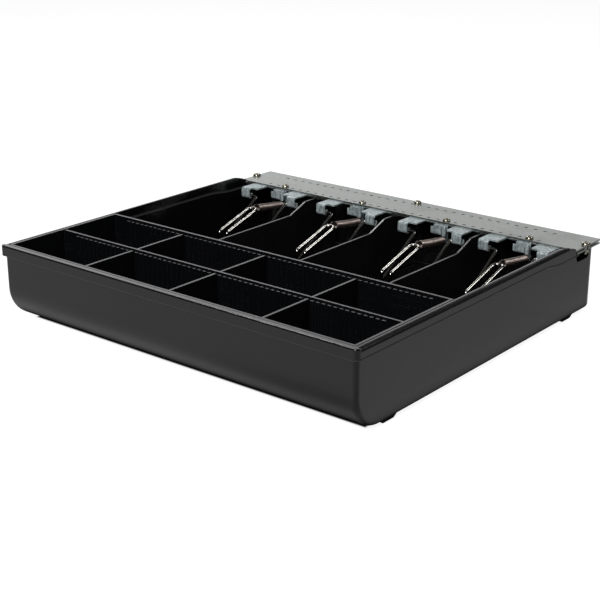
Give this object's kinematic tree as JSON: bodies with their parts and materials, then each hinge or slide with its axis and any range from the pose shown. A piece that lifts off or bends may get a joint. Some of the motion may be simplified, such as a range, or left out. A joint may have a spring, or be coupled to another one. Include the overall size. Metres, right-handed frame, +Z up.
{
  "type": "coin tray",
  "caption": "Till drawer insert with a lift-out coin section, loose coin dividers, note compartments and sprung bill clips on a slotted steel bar.",
  "frame": {"origin": "on the surface the tray stands on, under the middle of its width and depth", "axes": "+X to the right along the width, +Y to the rear where the steel bar is, +Z up"},
  "size_m": [0.4044, 0.374, 0.075],
  "materials": {
    "tray_plastic": "fine-grained black moulding",
    "coin_tray_plastic": "fine-grained black moulding",
    "divider_plastic": "fine-grained black moulding",
    "bill_divider_plastic": "fine-grained black moulding",
    "foot_rubber": "matt black",
    "upper_plate_steel": "zinc-plated sheet",
    "lower_plate_steel": "zinc-plated sheet",
    "bracket_steel": "zinc-plated sheet",
    "clip_wire": "dark nickel-plated wire",
    "spring_wire": "bare spring wire",
    "screw_steel": "nickel-plated, slightly brassy",
    "nut_steel": "zinc-plated"
  },
  "bodies": {
    "tray": {"bill_divider_left": "bill_divider_plastic", "bill_divider_middle": "bill_divider_plastic", "bill_divider_right": "bill_divider_plastic", "carrier_screw_1": "screw_steel", "carrier_screw_2": "screw_steel", "carrier_screw_3": "screw_steel", "carrier_screw_4": "screw_steel", "clip_bracket_1": "bracket_steel", "clip_bracket_2": "bracket_steel", "clip_bracket_3": "bracket_steel", "clip_bracket_4": "bracket_steel", "clip_spring_1": "spring_wire", "clip_spring_2": "spring_wire", "clip_spring_3": "spring_wire", "clip_spring_4": "spring_wire", "end_nut_left": "nut_steel", "end_nut_right": "nut_steel", "end_screw_left": "screw_steel", "end_screw_right": "screw_steel", "foot_1": "foot_rubber", "foot_2": "foot_rubber", "foot_3": "foot_rubber", "foot_4": "foot_rubber", "lower_plate": "lower_plate_steel", "rear_screw": "screw_steel", "tray_body": "tray_plastic", "upper_plate": "upper_plate_steel"},
    "coin_section": {"coin_tray": "coin_tray_plastic"},
    "clip_1": {"bill_clip_1": "clip_wire"},
    "clip_2": {"bill_clip_2": "clip_wire"},
    "clip_3": {"bill_clip_3": "clip_wire"},
    "clip_4": {"bill_clip_4": "clip_wire"},
    "coin_divider_front_left_body": {"coin_divider_front_left": "divider_plastic"},
    "coin_divider_front_middle_body": {"coin_divider_front_middle": "divider_plastic"},
    "coin_divider_front_right_body": {"coin_divider_front_right": "divider_plastic"},
    "coin_divider_rear_left_body": {"coin_divider_rear_left": "divider_plastic"},
    "coin_divider_rear_middle_body": {"coin_divider_rear_middle": "divider_plastic"},
    "coin_divider_rear_right_body": {"coin_divider_rear_right": "divider_plastic"}
  },
  "joints": [
    {"name": "clip_hinge_1", "type": "hinge", "parent": "tray", "child": "clip_1", "pos_m": [-0.1442, 0.1233, 0.0595], "axis": [-1, 0, 0], "range_deg": [0, 75], "stiffness_Nm_per_rad": 0.03, "springref_deg": -34.38, "deforming": ["clip_spring_1"]},
    {"name": "clip_hinge_2", "type": "hinge", "parent": "tray", "child": "clip_2", "pos_m": [-0.0432, 0.1233, 0.0595], "axis": [-1, 0, 0], "range_deg": [0, 75], "stiffness_Nm_per_rad": 0.03, "springref_deg": -34.38, "deforming": ["clip_spring_2"]},
    {"name": "clip_hinge_3", "type": "hinge", "parent": "tray", "child": "clip_3", "pos_m": [0.0578, 0.1233, 0.0595], "axis": [-1, 0, 0], "range_deg": [0, 75], "stiffness_Nm_per_rad": 0.03, "springref_deg": -34.38, "deforming": ["clip_spring_3"]},
    {"name": "clip_hinge_4", "type": "hinge", "parent": "tray", "child": "clip_4", "pos_m": [0.1487, 0.1233, 0.0595], "axis": [-1, 0, 0], "range_deg": [0, 75], "stiffness_Nm_per_rad": 0.03, "springref_deg": -34.38, "deforming": ["clip_spring_4"]},
    {"name": "coin_section_lift", "type": "slide", "parent": "tray", "child": "coin_section", "axis": [0, 0, 1], "range_m": [0, 0.12]},
    {"name": "coin_divider_front_left_lift", "type": "slide", "parent": "coin_section", "child": "coin_divider_front_left_body", "axis": [0, 0, 1], "range_m": [0, 0.07]},
    {"name": "coin_divider_front_middle_lift", "type": "slide", "parent": "coin_section", "child": "coin_divider_front_middle_body", "axis": [0, 0, 1], "range_m": [0, 0.07]},
    {"name": "coin_divider_front_right_lift", "type": "slide", "parent": "coin_section", "child": "coin_divider_front_right_body", "axis": [0, 0, 1], "range_m": [0, 0.07]},
    {"name": "coin_divider_rear_left_lift", "type": "slide", "parent": "coin_section", "child": "coin_divider_rear_left_body", "axis": [0, 0, 1], "range_m": [0, 0.07]},
    {"name": "coin_divider_rear_middle_lift", "type": "slide", "parent": "coin_section", "child": "coin_divider_rear_middle_body", "axis": [0, 0, 1], "range_m": [0, 0.07]},
    {"name": "coin_divider_rear_right_lift", "type": "slide", "parent": "coin_section", "child": "coin_divider_rear_right_body", "axis": [0, 0, 1], "range_m": [0, 0.07]}
  ]
}
